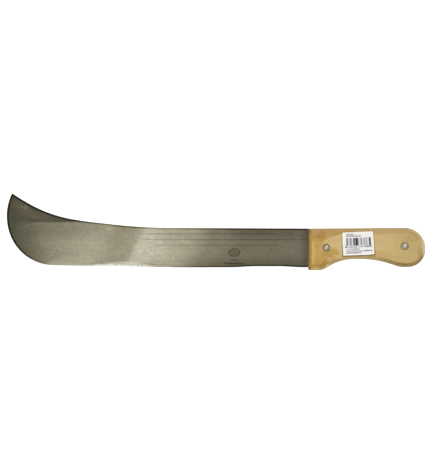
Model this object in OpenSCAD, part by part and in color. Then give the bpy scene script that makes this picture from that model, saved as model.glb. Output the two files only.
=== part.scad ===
// A machete with an upswept, round-bellied blade and two wooden grip scales riveted through a full tang.
// It lies on its side: X runs along the tool to the butt, Y across it to the spine, Z up through it.
// The origin is midway between the rivets, on the flat face of the lower scale that the handle rests on.
// Outlines are laid out from the front of the handle, on the line of the spine, then moved to that origin.

/* [Blade] */
// Length of the blade, from the handle to its foremost point
blade_l = 355.5; // [340:0.5:420]
// Thickness of the blade and of its tang
blade_t = 2; // [1.6:0.1:3]
// Width of the blade where it leaves the handle
heel_w = 45.7; // [42:0.1:48]
// Rise of the spine from the handle to its first bend
bend_rise = 0.9; // [0:0.1:4]
// Distance of the first bend behind the foremost point
bend_back = 149.5; // [125:0.5:180]
// Radius of the first bend
bend_r = 730; // [300:10:800]
// Rise of the spine at the upsweep
sweep_rise = 14.6; // [10:0.1:18]
// Distance of the upsweep behind the foremost point
sweep_back = 49; // [42:0.5:56]
// Radius of the upsweep
sweep_r = 165; // [80:5:200]
// Angle of the straight stretch that runs up to the tip
sweep_angle = 32.2; // [26:0.1:38]
// Depth of the belly's lowest point below the spine
belly_drop = 43.4; // [40:0.1:46]
// Radius of the front of the belly
belly_front_r = 62.5; // [58:0.5:68]
// Radius of the underside of the belly
belly_under_r = 55.5; // [48:0.5:58]
// Angle below the foremost point at which the belly tightens
belly_turn = 22; // [10:1:40]
// Distance behind the foremost point at which the edge reaches its full depth
edge_back = 187.5; // [160:0.5:200]

/* [Edge] */
// Width of the ground bevel on each side of the straight edge
bevel_w = 3.6; // [2:0.1:6]
// Width of the bevel round the front of the belly
belly_bevel_w = 1.6; // [0.5:0.1:3]
// Thickness left on the ground edge
edge_t = 0.4; // [0.2:0.1:1]
// Length of the bevel along the straight edge, behind the point where the edge reaches its full depth
straight_bevel_l = 23; // [10:1:36]
// Length over which the bevel fades out at the tip
bevel_fade = 16; // [8:1:30]
// Depth of the shallow relief in the edge near the handle
relief_d = 1.2; // [0.4:0.1:2]
// Distance from the handle to the near end of the relief
relief_near = 10; // [4:0.5:16]
// Distance from the handle to the far end of the relief
relief_far = 86; // [60:0.5:100]
// Length of each end slope of the relief
relief_ramp = 20; // [8:0.5:24]
// Radius of the relief's bends
relief_r = 60; // [20:1:80]

/* [Grooves] */
// Width of each groove rolled into the sides of the blade
groove_w = 1.2; // [0.8:0.1:2.4]
// Depth of each groove
groove_d = 0.25; // [0.1:0.05:0.3]
// Distance from the spine to the first groove
groove_first = 6.4; // [5:0.1:9]
// Distance between grooves
groove_pitch = 6.7; // [5:0.1:8]
// Length over which a groove runs out at each end
groove_fade = 6; // [2:0.5:12]

/* [Handle] */
// Length of the handle
handle_l = 138.4; // [130:0.1:155]
// Thickness of each wooden scale
scale_t = 10; // [7:0.5:14]
// Depth of the handle's front below the spine
front_drop = 49.3; // [48.6:0.1:54]
// Length of the deep front part along the lower side
front_l = 17.5; // [12:0.1:22]
// Depth of the narrowest part of the grip below the spine
waist_drop = 36.1; // [33:0.1:40]
// Distance from the front to the bend where the finger hollow begins
waist_near = 37.1; // [33:0.1:44]
// Distance from the front to the bend where the finger hollow ends
waist_far = 81.2; // [74:0.1:88]
// Depth of the butt below the spine
butt_drop = 45.5; // [42:0.1:52]
// Distance from the butt to the end of the slope behind the hollow
swell_back = 30.5; // [26:0.1:36]
// Rise of the handle's upper side at the butt
butt_rise = 1; // [0:0.1:4]
// Radius of the front bend of the finger hollow
hollow_front_r = 60; // [30:1:70]
// Radius of the rear bend of the finger hollow
hollow_rear_r = 125; // [60:1:140]
// Radius of the shoulder in front of the hollow
shoulder_r = 17; // [6:0.5:20]
// Radius of the swelling behind the hollow
swell_r = 27; // [15:0.5:40]
// Radius of the butt's upper corner
butt_upper_r = 24; // [15:0.1:26]
// Radius of the butt's lower corner
butt_lower_r = 21; // [15:0.1:24]
// Radius of the corners at the front of the handle
front_r = 1.5; // [0.8:0.1:4]
// Radius of the rounding along the scales' outer edges
round_r = 5.5; // [4.5:0.1:7]
// Width of that rounding, seen from above
round_w = 3.8; // [2.5:0.1:4.2]
// How far the tang stays inside the outline of the wood
tang_inset = 0.4; // [0.2:0.1:1.5]

/* [Rivets] */
// Diameter of the rivets' shanks
rivet_d = 5; // [4:0.1:6]
// Diameter of the rivets' domed heads
rivet_head_d = 6.8; // [6.4:0.1:7.6]
// Height of the rivets' domed heads
rivet_head_h = 1; // [0.5:0.1:1.1]
// Distance from the handle's front to the front rivet
rivet_front_x = 21.2; // [16:0.1:26]
// Depth of the front rivet below the spine
rivet_front_drop = 22.8; // [18:0.1:28]
// Distance from the butt to the rear rivet
rivet_rear_back = 24.6; // [18:0.1:32]
// Depth of the rear rivet below the spine
rivet_rear_drop = 20.9; // [16:0.1:26]
// Diameter of the washers under the rivets' heads
washer_d = 8.6; // [8:0.1:10]
// Thickness of the washers
washer_t = 0.8; // [0.4:0.1:0.9]
// Depth of the recess for a washer and a head
recess_depth = 2; // [2:0.1:3]
// Clearance round a rivet's shank and round a washer
clearance = 0.1; // [0.05:0.05:0.4]

/* [Label] */
// Length of the paper label on the upper scale
label_l = 37; // [20:0.5:40]
// Width of the label
label_w = 27.5; // [15:0.5:28]
// Thickness of the label
label_t = 0.15; // [0.1:0.05:0.3]
// Distance from the handle's front to the middle of the label
label_x = 59.2; // [52:0.1:66]
// Depth of the middle of the label below the spine
label_drop = 17.8; // [17:0.1:19]
// Angle at which the label was stuck on
label_turn = 2; // [-3:0.5:3]

/* [Hidden] */
$fn = 64;

steel_color = "#8c8672";
wood_color = "#cdb27c";
rivet_color = "#d2d2cc";
washer_color = "#8e8f8a";
paper_color = "#f4f3f0";

// Steps of an arc in degrees, coarser round corners under small_r, and steps of the scales' rounding
fine_step = 5;
small_step = 22.5;
small_r = 10;
round_steps = 6;
// The least radius that a rounded corner keeps where its outline is moved inwards
least_r = 0.4;
// The most of a straight side that its two rounded corners may take
most_round = 0.97;
// How far the cutters run past the faces that they cut
past = 1;

// Heights above the surface that the handle rests on
tang_z = scale_t;
upper_z = tang_z + blade_t;
handle_t = upper_z + scale_t;

front_place = [rivet_front_x, -rivet_front_drop];
rear_place = [handle_l - rivet_rear_back, -rivet_rear_drop];
origin = (front_place + rear_place) / 2;

// For each groove from the spine down: how far it ends from the handle and from the foremost point
groove_ends = [[33, 156], [3, 162.5], [34, 171]];
groove_r = (groove_w ^ 2 / 4 + groove_d ^ 2) / (2 * groove_d);

function unit(v) = v / norm(v);
function left_of(v) = [-v.y, v.x];
function flat(p) = [p.x, p.y];
function direction(angle) = [cos(angle), sin(angle)];
function mix(a, b, share) = a + (b - a) * share;
function nth(list, i) = list[(i + len(list)) % len(list)];
function place_of(p, points) = [for (i = [0 : len(points) - 1]) if (norm(points[i] - p) < 0.001) i][0];
function at_height(points, z) = [for (p = points) [p.x - origin.x, p.y - origin.y, z]];

// An outline is a list of corners [x, y, radius], anticlockwise, so that the solid lies to their left
function side(corners, i) = flat(nth(corners, i + 1)) - flat(nth(corners, i));
function turn(corners, i) =
    let (u = side(corners, i - 1), v = side(corners, i))
    atan2(u.x * v.y - u.y * v.x, u * v);
function reach(corners, i) = nth(corners, i)[2] * tan(abs(turn(corners, i)) / 2);
function room(corners, i) =
    norm(side(corners, i)) / max(reach(corners, i) + reach(corners, i + 1), least_r);

// Radii as they fit: where two would fill a side, both shrink, so that some of it stays straight
function fitted(corners) = [
    for (i = [0 : len(corners) - 1])
        let (share = min(1, most_round * room(corners, i - 1), most_round * room(corners, i)))
        [corners[i].x, corners[i].y, corners[i][2] * share]
];

// The same outline moved inwards by d: outer corners tighten and inner corners open
function inset(corners, d) = [
    for (i = [0 : len(corners) - 1])
        let (a = left_of(unit(side(corners, i - 1))), b = left_of(unit(side(corners, i))))
        let (p = flat(corners[i]) + (a + b) * d / (1 + a * b), r = corners[i][2])
        [p.x, p.y, turn(corners, i) > 0 ? max(r - d, min(r, least_r)) : r + d]
];

function steps_round(r, angle) = r > 0 ? ceil(abs(angle) / (r < small_r ? small_step : fine_step)) : 0;

// The points of an outline. Steps are counted on the outline that it was inset from, so that rings match.
function outline(corners, counted_on) = [
    for (i = [0 : len(corners) - 1])
        let (r = corners[i][2], angle = turn(corners, i), along = unit(side(corners, i - 1)))
        let (start = flat(corners[i]) - along * reach(corners, i))
        let (steps = steps_round(counted_on[i][2], angle))
        for (k = [0 : steps])
            let (a = steps > 0 ? angle * k / steps : 0)
            start + r * (sin(abs(a)) * along + sign(angle) * (1 - cos(a)) * left_of(along))
];

function arc(centre, r, from, to) =
    let (steps = ceil(abs(to - from) / fine_step))
    [for (k = [0 : steps]) centre + r * direction(mix(from, to, k / steps))];

// The handle's outline, from the upper front corner round by the finger hollow
handle_corners = fitted([
    [0, 0, front_r],
    [0, -front_drop, front_r],
    [front_l, -front_drop, shoulder_r],
    [waist_near, -waist_drop, hollow_front_r],
    [waist_far, -waist_drop, hollow_rear_r],
    [handle_l - swell_back, -butt_drop, swell_r],
    [handle_l, -butt_drop, butt_lower_r],
    [handle_l, butt_rise, butt_upper_r]
]);

// The belly is two arcs that share a tangent. The spine's last straight stretch meets the front one at the tip.
belly_join = direction(belly_turn);
under_centre = [belly_front_r - blade_l - (belly_front_r - belly_under_r) * belly_join.x,
                belly_under_r - belly_drop];
front_centre = under_centre + (belly_front_r - belly_under_r) * belly_join;
sweep = [sweep_back - blade_l, sweep_rise];
sweep_dir = direction(180 - sweep_angle);
sweep_along = (sweep - front_centre) * sweep_dir;
sweep_l = sqrt(sweep_along ^ 2 - norm(sweep - front_centre) ^ 2 + belly_front_r ^ 2) - sweep_along;
tip = sweep + sweep_l * sweep_dir;
tip_angle = 180 - asin((tip.y - front_centre.y) / belly_front_r);

// The edge leaves the belly along the tangent to the point where it reaches its full depth
edge_low = [edge_back - blade_l, -heel_w];
to_low = edge_low - under_centre;
touch_angle = 360 + atan2(to_low.y, to_low.x) - acos(belly_under_r / norm(to_low));

front_arc = arc(front_centre, belly_front_r, tip_angle, 180 + belly_turn);
under_arc = arc(under_centre, belly_under_r, 180 + belly_turn, touch_angle);
under_steps = len(under_arc) - 1;

// The ground edge from the tip back: each point with the width of its bevel
ground = [
    for (p = front_arc) [p.x, p.y, belly_bevel_w * min(1, norm(p - tip) / bevel_fade)],
    for (k = [1 : under_steps])
        [under_arc[k].x, under_arc[k].y, mix(belly_bevel_w, bevel_w, k / under_steps)],
    [edge_low.x, edge_low.y, bevel_w],
    [edge_low.x + straight_bevel_l, -heel_w, 0]
];

// The tang follows the wood's outline but goes no lower than the heel
tang = inset(handle_corners, tang_inset);
slope = tang[3] - tang[2];
tang_meets_x = tang[2].x + slope.x * (-heel_w - tang[2].y) / slope.y;
tang_ease = 4;
heel = [0, -heel_w];
spine_end = [0, 0];

blade_corners = fitted([
    for (p = ground) [p.x, p.y, 0],
    [-relief_far, -heel_w, relief_r],
    [relief_ramp - relief_far, relief_d - heel_w, relief_r],
    [-relief_near - relief_ramp, relief_d - heel_w, relief_r],
    [-relief_near, -heel_w, relief_r],
    [heel.x, heel.y, 0],
    [tang_meets_x, -heel_w, 0],
    for (i = [3 : 7]) tang[i],
    [tang[0].x + tang_ease, tang[0].y, 0],
    [spine_end.x, spine_end.y, 0],
    [bend_back - blade_l, bend_rise, bend_r],
    [sweep.x, sweep.y, sweep_r]
]);
blade_points = outline(blade_corners, blade_corners);
ground_points = len(ground);

// The outline where the bevels have eaten into the sides of the blade
side_points = [
    for (i = [0 : len(blade_points) - 1])
        let (w = i < ground_points ? ground[i][2] : 0)
        let (along = unit(nth(blade_points, i + 1) - nth(blade_points, i - 1)))
        blade_points[i] + w * left_of(along)
];

// Points that see the whole of the grip and the whole of the blade in front of it, and the loops they see
grip_middle = [(waist_near + waist_far) / 2, -waist_drop / 4];
blade_middle = [under_centre.x, -heel_w / 8];
heel_i = place_of(heel, blade_points);
spine_end_i = place_of(spine_end, blade_points);
tang_loop = [for (i = [heel_i : spine_end_i]) i];
front_loop = [for (i = [spine_end_i : heel_i + len(blade_points)]) i % len(blade_points)];

// A closed skin over rings of as many points each, from the lowest ring to the highest. Each end is closed
// by fans: every loop is a list of places in the ring, and its middle is a point that sees them all.
module skin(rings, loops, middles) {
    n = len(rings[0]);
    top = (len(rings) - 1) * n;
    low_middle = top + n;
    top_middle = low_middle + len(middles);
    points = concat(
        [for (ring = rings) for (p = ring) p],
        at_height(middles, rings[0][0].z),
        at_height(middles, rings[len(rings) - 1][0].z)
    );
    walls = [
        for (j = [0 : len(rings) - 2])
            for (i = [0 : n - 1])
                let (a = j * n + i, b = j * n + (i + 1) % n)
                for (face = [[a, a + n, b + n], [a, b + n, b]]) face
    ];
    ends = [
        for (i = [0 : len(loops) - 1])
            for (k = [0 : len(loops[i]) - 1])
                let (a = loops[i][k], b = nth(loops[i], k + 1))
                for (face = [[low_middle + i, a, b], [top_middle + i, top + b, top + a]]) face
    ];
    polyhedron(points, concat(walls, ends));
}

module at_rivet(place) {
    translate([place.x - origin.x, place.y - origin.y, 0]) children();
}

module shank_hole(place) {
    at_rivet(place) translate([0, 0, -past]) cylinder(h = handle_t + 2 * past, d = rivet_d + 2 * clearance);
}

// Cuts one groove along X, at the surface z = 0 of a side that faces upwards
module groove_cutter(l) {
    end_r = (groove_r - groove_d) / 2;
    translate([0, 0, groove_r - groove_d]) rotate([0, 90, 0]) rotate_extrude() polygon([
        [0, 0], [end_r, 0], [groove_r, groove_fade], [groove_r, l - groove_fade], [end_r, l], [0, l]
    ]);
}

module grooves() {
    for (i = [0 : len(groove_ends) - 1]) {
        near = groove_ends[i][0];
        far = blade_l - groove_ends[i][1];
        y = -groove_first - i * groove_pitch;
        translate([-far - origin.x, y - origin.y, 0]) groove_cutter(far - near);
    }
}

// One wooden scale, standing on its inner face
module grip_scale() {
    round_end = acos(1 - round_w / round_r);
    round_z = scale_t - round_r * sin(round_end);
    wall = outline(handle_corners, handle_corners);
    rounding = [
        for (k = [0 : round_steps])
            let (a = round_end * k / round_steps)
            let (ring = inset(handle_corners, round_r * (1 - cos(a))))
            at_height(outline(ring, handle_corners), round_z + round_r * sin(a))
    ];
    difference() {
        skin(concat([at_height(wall, 0)], rounding), [[for (i = [0 : len(wall) - 1]) i]], [grip_middle]);
        for (place = [front_place, rear_place]) {
            shank_hole(place);
            at_rivet(place) translate([0, 0, scale_t - recess_depth])
                cylinder(h = recess_depth + past, d = washer_d + 2 * clearance);
        }
    }
}

module rivet(place) {
    seat_z = recess_depth - washer_t;
    dome_r = ((rivet_head_d / 2) ^ 2 + rivet_head_h ^ 2) / (2 * rivet_head_h);
    dome_angle = asin(rivet_head_d / 2 / dome_r);
    dome_steps = 8;
    lower_dome = [
        for (k = [0 : dome_steps])
            let (a = dome_angle * k / dome_steps)
            [dome_r * sin(a), seat_z - rivet_head_h + dome_r * (1 - cos(a))]
    ];
    upper_dome = [for (k = [dome_steps : -1 : 0]) [lower_dome[k].x, handle_t - lower_dome[k].y]];
    shank = [[rivet_d / 2, seat_z], [rivet_d / 2, handle_t - seat_z]];
    color(rivet_color) at_rivet(place) rotate_extrude() polygon(concat(lower_dome, shank, upper_dome));
}

module washer(place, z) {
    color(washer_color) at_rivet(place) translate([0, 0, z]) difference() {
        cylinder(h = washer_t, d = washer_d);
        translate([0, 0, -past]) cylinder(h = washer_t + 2 * past, d = rivet_d + 2 * clearance);
    }
}

module blade() {
    edge_z = tang_z + (blade_t - edge_t) / 2;
    color(steel_color) difference() {
        skin([
            at_height(side_points, tang_z),
            at_height(blade_points, edge_z),
            at_height(blade_points, edge_z + edge_t),
            at_height(side_points, upper_z)
        ], [front_loop, tang_loop], [blade_middle, grip_middle]);
        translate([0, 0, upper_z]) grooves();
        translate([0, 0, tang_z]) mirror([0, 0, 1]) grooves();
        shank_hole(front_place);
        shank_hole(rear_place);
    }
}

module grip_scale_upper() {
    color(wood_color) translate([0, 0, upper_z]) grip_scale();
}

module grip_scale_lower() {
    color(wood_color) translate([0, 0, tang_z]) mirror([0, 0, 1]) grip_scale();
}

module rivet_front() {
    rivet(front_place);
}

module rivet_rear() {
    rivet(rear_place);
}

module washer_front_upper() {
    washer(front_place, handle_t - recess_depth);
}

module washer_front_lower() {
    washer(front_place, recess_depth - washer_t);
}

module washer_rear_upper() {
    washer(rear_place, handle_t - recess_depth);
}

module washer_rear_lower() {
    washer(rear_place, recess_depth - washer_t);
}

module paper_label() {
    color(paper_color) translate([label_x - origin.x, -label_drop - origin.y, handle_t])
        rotate([0, 0, label_turn]) translate([-label_l / 2, -label_w / 2, 0])
            cube([label_l, label_w, label_t]);
}

blade();
grip_scale_upper();
grip_scale_lower();
rivet_front();
rivet_rear();
washer_front_upper();
washer_front_lower();
washer_rear_upper();
washer_rear_lower();
paper_label();
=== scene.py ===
import math

import bmesh
import bpy
import numpy as np
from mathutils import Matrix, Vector, geometry


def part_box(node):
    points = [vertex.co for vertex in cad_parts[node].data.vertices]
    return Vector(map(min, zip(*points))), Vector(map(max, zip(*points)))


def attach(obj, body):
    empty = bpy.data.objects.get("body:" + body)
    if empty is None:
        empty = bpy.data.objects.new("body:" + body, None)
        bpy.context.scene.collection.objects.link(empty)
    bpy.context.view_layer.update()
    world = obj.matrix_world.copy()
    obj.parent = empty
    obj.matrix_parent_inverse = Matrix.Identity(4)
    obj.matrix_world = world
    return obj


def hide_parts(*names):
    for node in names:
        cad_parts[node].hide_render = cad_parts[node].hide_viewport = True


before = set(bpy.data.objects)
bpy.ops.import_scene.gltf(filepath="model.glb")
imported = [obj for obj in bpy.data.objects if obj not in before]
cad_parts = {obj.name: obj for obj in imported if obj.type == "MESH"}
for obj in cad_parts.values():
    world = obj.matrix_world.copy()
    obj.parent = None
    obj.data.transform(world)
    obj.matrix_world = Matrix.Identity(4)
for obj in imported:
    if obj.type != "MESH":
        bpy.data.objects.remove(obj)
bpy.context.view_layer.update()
mm = 0.001
batch = 500  # points measured at a time, to save memory
chance = np.random.default_rng(7)

# The photograph's frame: how it lies over the part, in mm and pixels
photo = {"width": 430, "height": 465, "mmPerPixel": 1.18, "left": -430.5, "top": 290.9}


def xAt(column):  # the photograph's columns and rows as places on the part, in mm
    return photo["left"] + photo["mmPerPixel"] * column


def yAt(row):
    return photo["top"] - photo["mmPerPixel"] * row


def atPixel(column, row):
    return xAt(column), yAt(row)


# Outlines: cut from the CAD nodes, smoothed, moved inwards and filled


def chained(segments, reach=0.05):  # loops of points from loose segments that run end to end
    starts = np.array([a for a, b in segments])
    ends = np.array([b for a, b in segments])
    free = np.ones(len(segments), bool)
    loops = []
    while free.any():
        at = first = int(np.argmax(free))
        loop = []
        while True:
            free[at] = False
            loop.append(starts[at])
            gap = np.hypot(*(starts - ends[at]).T)
            gap[~free] = np.inf
            gap[first] = np.hypot(*(starts[first] - ends[at]))
            at = int(np.argmin(gap))
            if at == first or gap[at] > reach:
                break
        if len(loop) > 2:
            loops.append(np.array(loop))
    return loops


def plainer(loop, doubled=1e-3, straight=2e-4):  # without doubled points and those along a straight line
    nextOne = np.roll(loop, -1, axis=0)
    loop = loop[np.hypot(*(nextOne - loop).T) > doubled]
    before = loop - np.roll(loop, 1, axis=0)
    after = np.roll(loop, -1, axis=0) - loop
    turn = before[:, 0] * after[:, 1] - before[:, 1] * after[:, 0]
    lengths = np.hypot(*before.T) * np.hypot(*after.T)
    return loop[np.abs(turn) > straight * lengths]


def sliceLoops(node, height):  # outlines of a node cut level, each with the solid on its left
    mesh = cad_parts[node].data
    mesh.calc_loop_triangles()
    points = np.array([v.co for v in mesh.vertices]) / mm
    segments = []
    for triangle in mesh.loop_triangles:
        p = points[list(triangle.vertices)]
        above = p[:, 2] > height
        if above.all() or not above.any():
            continue
        ends = []
        for i in range(3):
            a, b = p[i], p[(i + 1) % 3]
            if (a[2] > height) != (b[2] > height):
                ends.append((a + (b - a) * (height - a[2]) / (b[2] - a[2]))[:2])
        outward = np.cross(p[1] - p[0], p[2] - p[0])
        along = ends[1] - ends[0]
        if np.hypot(*along) < 1e-5:
            continue
        if along[1] * outward[0] - along[0] * outward[1] < 0:
            ends.reverse()
        segments.append(ends)
    return sorted((plainer(loop) for loop in chained(segments)), key=lambda loop: -abs(areaOf(loop)))


def areaOf(loop):
    after = np.roll(loop, -1, axis=0)
    return 0.5 * np.sum(loop[:, 0] * after[:, 1] - loop[:, 1] * after[:, 0])


def smoothLoop(loop, spacing, sharpTurn=30.0, longer=1.6):
    # A curve through the points. Turns over sharpTurn stay corners, and straight sides stay straight.
    count = len(loop)
    side = np.roll(loop, -1, axis=0) - loop
    length = np.hypot(*side.T)
    heading = side / length[:, None]
    result = []
    leave = np.zeros((count, 2))
    arrive = np.zeros((count, 2))
    for i in range(count):
        a, b = heading[i - 1], heading[i]
        turn = abs(math.degrees(math.atan2(a[0] * b[1] - a[1] * b[0], a @ b)))
        if turn > sharpTurn:
            arrive[i], leave[i] = a, b
        elif length[i - 1] > longer * length[i]:
            arrive[i] = leave[i] = a
        elif length[i] > longer * length[i - 1]:
            arrive[i] = leave[i] = b
        else:
            arrive[i] = leave[i] = (a + b) / np.hypot(*(a + b))
    for i in range(count):
        j = (i + 1) % count
        steps = max(1, round(length[i] / spacing))
        for k in range(steps):
            t = k / steps
            result.append(
                (2 * t**3 - 3 * t**2 + 1) * loop[i] + (t**3 - 2 * t**2 + t) * length[i] * leave[i]
                + (3 * t**2 - 2 * t**3) * loop[j] + (t**3 - t**2) * length[i] * arrive[j]
            )
    return np.array(result)


def inBatches(points, measure):
    parts = [measure(points[i:i + batch, None]) for i in range(0, max(len(points), 1), batch)]
    return np.concatenate(parts)


def distanceTo(points, loop):
    side = np.roll(loop, -1, axis=0) - loop
    square = np.maximum((side**2).sum(1), 1e-12)

    def nearest(place):
        p = place - loop
        t = np.clip((p * side).sum(2) / square, 0, 1)
        return np.sqrt(((p - t[..., None] * side) ** 2).sum(2).min(1))

    return inBatches(points, nearest)


def isInside(points, loops):
    def crossings(place):  # of a ray along +X
        x, y = place[..., 0], place[..., 1]
        count = 0
        for a in loops:
            b = np.roll(a, -1, axis=0)
            rise = np.where(b[:, 1] == a[:, 1], 1e-12, b[:, 1] - a[:, 1])
            crossX = a[:, 0] + (y - a[:, 1]) * (b[:, 0] - a[:, 0]) / rise
            spans = (a[:, 1] > y) != (b[:, 1] > y)
            count = count + (spans & (crossX > x)).sum(1)
        return count

    return inBatches(points, crossings) % 2 == 1


def insetLoop(loop, depth, spacing):
    fine = evenLoop(loop, spacing)
    along = np.roll(fine, -1, axis=0) - np.roll(fine, 1, axis=0)
    along /= np.hypot(*along.T)[:, None]
    moved = fine + depth * np.column_stack([-along[:, 1], along[:, 0]])
    keep = (distanceTo(moved, loop) > 0.97 * depth) & isInside(moved, [loop])
    return moved[keep]


def evenLoop(loop, spacing):  # long sides get more points
    side = np.roll(loop, -1, axis=0) - loop
    result = []
    for start, step in zip(loop, side):
        pieces = max(1, math.ceil(np.hypot(*step) / spacing))
        result += [start + step * k / pieces for k in range(pieces)]
    return np.array(result)


def circle(x, y, radius, count=48):
    angles = np.arange(count) * 2 * math.pi / count
    return np.column_stack([x + radius * np.cos(angles), y + radius * np.sin(angles)])


def dotsIn(box, spacing, shake=0.22):  # staggered dots, a little shaken
    (x0, y0), (x1, y1) = box
    rows = []
    for k, y in enumerate(np.arange(y0, y1, spacing * 0.87)):
        xs = np.arange(x0 + (k % 2) * spacing / 2, x1, spacing)
        rows.append(np.column_stack([xs, np.full(len(xs), y)]))
    dots = np.vstack(rows)
    return dots + chance.uniform(-shake, shake, dots.shape) * spacing


def fillFlat(borders, lines, dots, clear):
    # Triangles between the borders. Edges follow the lines, and every dot stays clear of both.
    points, edges = [], []
    for line, closed in [(b, True) for b in borders] + lines:
        first = len(points)
        points += list(line)
        last = len(line) if closed else len(line) - 1
        edges += [(first + i, first + (i + 1) % len(line)) for i in range(last)]
    fixed = np.array(points)
    dots = dots[isInside(dots, borders)]
    dots = dots[nearestPoint(dots, fixed) > clear]
    everything = [Vector(p) for p in np.vstack([fixed, dots])]
    found = geometry.delaunay_2d_cdt(everything, edges, [], 0, 1e-5)
    flat = np.array([tuple(v) for v in found[0]])
    faces = np.array([f for f in found[2] if len(f) == 3])
    a, b, c = flat[faces[:, 0]], flat[faces[:, 1]], flat[faces[:, 2]]
    area = (b[:, 0] - a[:, 0]) * (c[:, 1] - a[:, 1]) - (b[:, 1] - a[:, 1]) * (c[:, 0] - a[:, 0])
    faces[area < 0] = faces[area < 0][:, ::-1]
    solid = isInside((a + b + c) / 3, borders) & (np.abs(area) > 1e-7)
    return flat, faces[solid]


def nearestPoint(dots, fixed):
    return inBatches(dots, lambda place: np.sqrt(((place - fixed) ** 2).sum(2)).min(1))


def platePiece(name, flat, faces, top, bottom, marks, sharp):
    # A closed plate: the same triangles above and below, walls along every open edge, marks as attributes
    used = np.unique(faces)
    place = np.full(len(flat), -1)
    place[used] = np.arange(len(used))
    faces, flat, top, bottom = place[faces], flat[used], top[used], bottom[used]
    count = len(flat)
    pairs = {(int(f[i]), int(f[(i + 1) % 3])) for f in faces for i in range(3)}
    rim = [(a, b) for a, b in pairs if (b, a) not in pairs]
    points = np.vstack([np.column_stack([flat, top]), np.column_stack([flat, bottom])]) * mm
    allFaces = [tuple(f) for f in faces.tolist()]
    allFaces += [tuple(i + count for i in f[::-1]) for f in faces.tolist()]
    allFaces += [(a + count, b + count, b, a) for a, b in sorted(rim)]
    mesh = bpy.data.meshes.new(name)
    mesh.from_pydata(points.tolist(), [], allFaces)
    for key, value in marks.items():
        upper, lower = value if isinstance(value, tuple) else (value, value)
        mark = mesh.attributes.new(key, "FLOAT", "POINT")
        mark.data.foreach_set("value", np.concatenate([upper[used], lower[used]]).astype(np.float32))
    mesh.validate()
    return smoothPiece(name, mesh, sharp)


def newObject(name, data):
    made = bpy.data.objects.new(name, data)
    bpy.context.collection.objects.link(made)
    return made


def smoothPiece(name, mesh, sharp):  # edges that turn by more than sharp degrees stay sharp
    mesh.shade_smooth()
    mesh.set_sharp_from_angle(angle=math.radians(sharp))
    return newObject(name, mesh)


def smoothStep(value, low, high):
    t = np.clip((value - low) / (high - low), 0, 1)
    return t * t * (3 - 2 * t)


def finished(piece, material, slot, *nodes):
    piece.data.materials.clear()
    piece.data.materials.append(material)
    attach(piece, "root")
    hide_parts(*nodes)
    print(f"{piece.name}: {len(piece.data.polygons)} faces")


# Nodes as expressions, for materials and geometry


class Wire:  # a node's output, which sums and products turn into further nodes
    def __init__(self, tree, socket=None):
        self.tree = tree
        self.socket = socket

    def node(self, kind, settings, sockets, output=0):
        made = self.tree.nodes.new(kind)
        for key, value in settings.items():
            if key == "stops":
                fillRamp(made.color_ramp.elements, value)
            else:
                setattr(made, key, value)
        for key, value in sockets.items():
            self.feed(made.inputs[key], value)
        return Wire(self.tree, made.outputs[output])

    def feed(self, target, value):  # a link from another node, or a plain value
        if isinstance(value, Wire):
            self.tree.links.new(value.socket, target)
        else:
            target.default_value = value

    def maths(self, operation, a, b=0.0):
        return self.node("ShaderNodeMath", {"operation": operation}, {0: a, 1: b})

    def __abs__(self):
        return self.maths("ABSOLUTE", self)


for sign, operation in (
    ("add", "ADD"), ("sub", "SUBTRACT"), ("mul", "MULTIPLY"), ("truediv", "DIVIDE"), ("pow", "POWER"),
):
    setattr(Wire, f"__{sign}__", lambda a, b, kind=operation: a.maths(kind, a, b))
    setattr(Wire, f"__r{sign}__", lambda a, b, kind=operation: a.maths(kind, b, a))


def fillRamp(points, stops):
    while len(points) < len(stops):
        points.new(1.0)
    for point, (place, colour) in zip(points, stops):
        point.position = place
        point.color = colour


def ramped(value, low, high, stops):  # a colour that follows a value from low to high
    spread = [((at - low) / (high - low), colour) for at, colour in stops]
    share = (value - low) / (high - low)
    return share.node("ShaderNodeValToRGB", {"stops": spread}, {0: share})


def soft(value, low, high):  # 0 below low, 1 above high, or the other way round
    return value.node("ShaderNodeMapRange", {"interpolation_type": "SMOOTHSTEP"}, {0: value, 1: low, 2: high})


def between(value, low, high, blur):
    return soft(value, low - blur, low + blur) * soft(value, high + blur, high - blur)


def softX(x, low, high):  # the same along the part, between two columns of the photograph
    return soft(x, xAt(low), xAt(high))


def softY(y, low, high):  # the same across the part, between two rows of the photograph
    return soft(y, yAt(low), yAt(high))


def betweenX(x, low, high, blur):
    return between(x, xAt(low), xAt(high), blur)


def betweenY(y, low, high, blur):
    return between(y, yAt(low), yAt(high), blur)


def levels(x, *stops):  # a number between 0 and 1 that follows x, given at columns of the photograph
    grey = [(xAt(column), (level, level, level, 1)) for column, level in stops]
    return ramped(x, grey[0][0], grey[-1][0], grey)


def tones(value, placeOf, paint, ends, stops):  # a colour that follows a value, given at columns or rows
    low, high = (placeOf(end) for end in ends)
    return ramped(value, low, high, [(placeOf(at), paint(*colour)) for at, colour in stops])


def alongAcross(x, y, middle, turn):  # a place seen from a middle, along axes that are turned by degrees
    cos, sin = math.cos(math.radians(turn)), math.sin(math.radians(turn))
    dx, dy = x - middle[0], y - middle[1]
    return dx * cos + dy * sin, dy * cos - dx * sin


def oval(x, y, middle, reach, turn=0.0):  # 1 in the middle of an oval patch, 0 at its border and outside
    along, across = alongAcross(x, y, middle, turn)
    along, across = along / reach[0], across / reach[1]
    return soft(along * along + across * across, 1.0, 0.0)


def firmOval(x, y, middle, reach, turn=0.0):  # an oval patch with a flat middle and a firmer border
    return soft(oval(x, y, middle, tuple(r / 0.85 for r in reach), turn), 0.0, 0.7)


def mixed(share, a, b):
    return share.node("ShaderNodeMix", {"data_type": "RGBA"}, {0: share, 6: a, 7: b}, 2)


def mixedNumber(share, a, b):
    return a + (b - a) * share


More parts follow.
